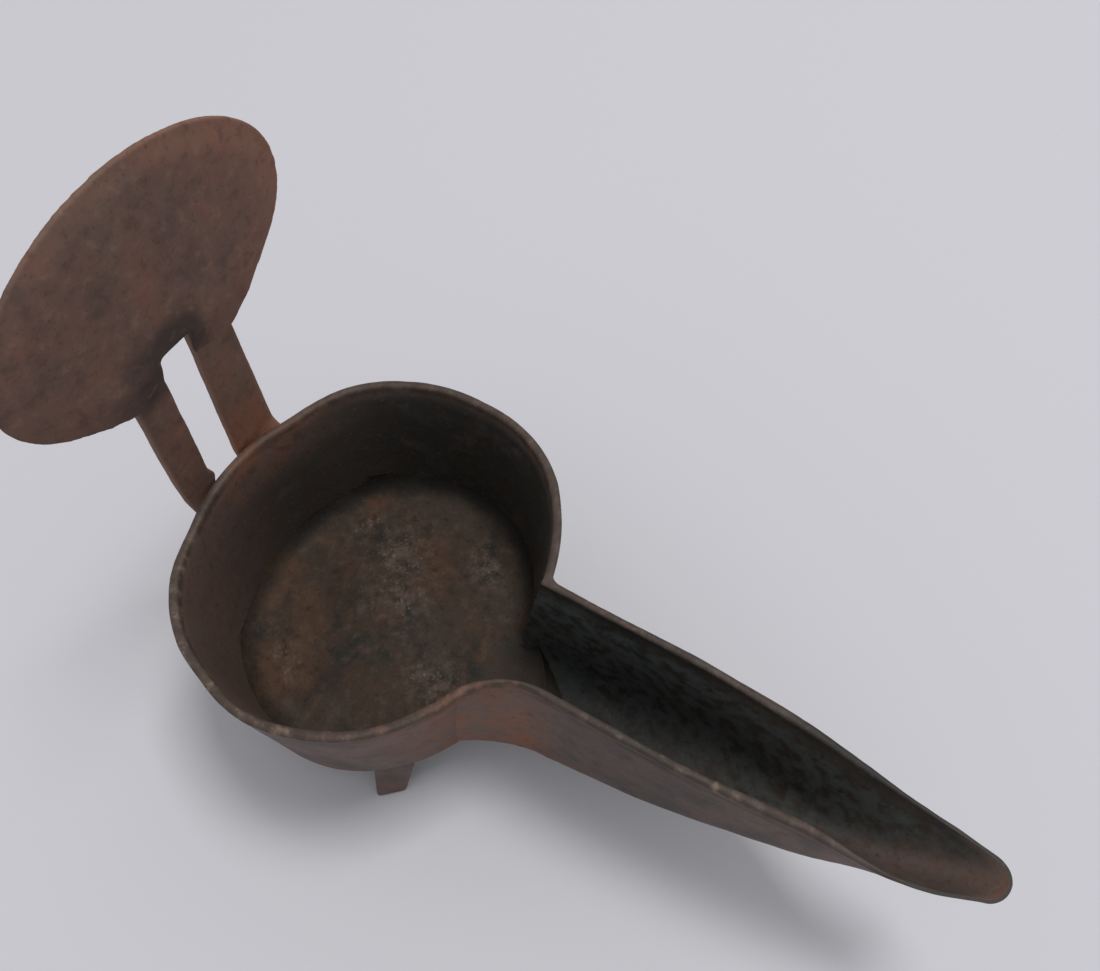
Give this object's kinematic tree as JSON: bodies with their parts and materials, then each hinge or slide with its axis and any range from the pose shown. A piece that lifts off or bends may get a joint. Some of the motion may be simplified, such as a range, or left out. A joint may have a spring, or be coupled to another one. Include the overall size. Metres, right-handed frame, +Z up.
{
  "type": "betty lamp",
  "caption": "Open oval pan lamp of sheet iron on small feet, with a long trough spout for the wick and a slotted upright handle with an oval disc.",
  "frame": {"origin": "on the table that the feet stand on, under the middle of the lamp's length and width", "axes": "+X along the spout towards its tip, +Y to the lamp's left, +Z up"},
  "size_m": [0.1457, 0.072, 0.1082],
  "materials": {
    "floor_iron": "gritty dark rust",
    "pan_iron": "sooty, rust-stained",
    "spout_iron": "sooty inside, worn grey-brown outside",
    "disc_iron": "matt brown rust",
    "strap_iron": "matt brown rust",
    "foot_iron": "matt dark rust"
  },
  "bodies": {
    "root": {"pan_floor": "floor_iron", "pan_wall": "pan_iron", "spout": "spout_iron", "handle_disc": "disc_iron", "left_strap": "strap_iron", "right_strap": "strap_iron", "front_left_foot": "foot_iron", "front_right_foot": "foot_iron", "rear_foot": "foot_iron"}
  },
  "joints": []
}
